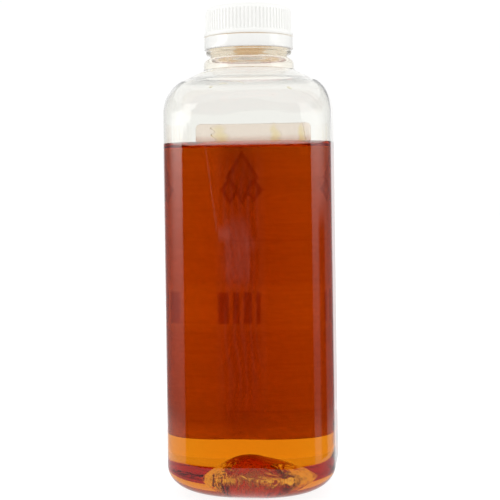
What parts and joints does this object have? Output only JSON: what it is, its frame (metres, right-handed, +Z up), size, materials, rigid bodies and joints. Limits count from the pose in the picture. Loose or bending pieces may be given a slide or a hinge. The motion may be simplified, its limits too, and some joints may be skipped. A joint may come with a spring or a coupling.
{
  "type": "square clear bottle of amber sugar syrup",
  "caption": "Tall square clear bottle with round shoulders, filled with amber sugar syrup, closed by a ribbed white screw cap with a tamper ring, and a paper label on its back.",
  "frame": {"origin": "middle of the base, on the surface the bottle stands on", "axes": "+Z up along the bottle's axis, -Y towards the front seen in the picture, the label on the +Y side"},
  "size_m": [0.0762, 0.0767, 0.2203],
  "materials": {
    "clear_plastic": "clear blown plastic, glossy, very faintly warm in its edges",
    "amber_syrup": "clear amber liquid, dark red-brown over the label and bright orange below it",
    "white_cap_plastic": "moulded white plastic, satin",
    "label_paper": "uncoated pale beige paper, its plain printed fields on the outside"
  },
  "bodies": {
    "root": {"bottle": "clear_plastic", "syrup": "amber_syrup", "cap": "white_cap_plastic", "tamper_band": "white_cap_plastic", "label": "label_paper"}
  },
  "joints": []
}
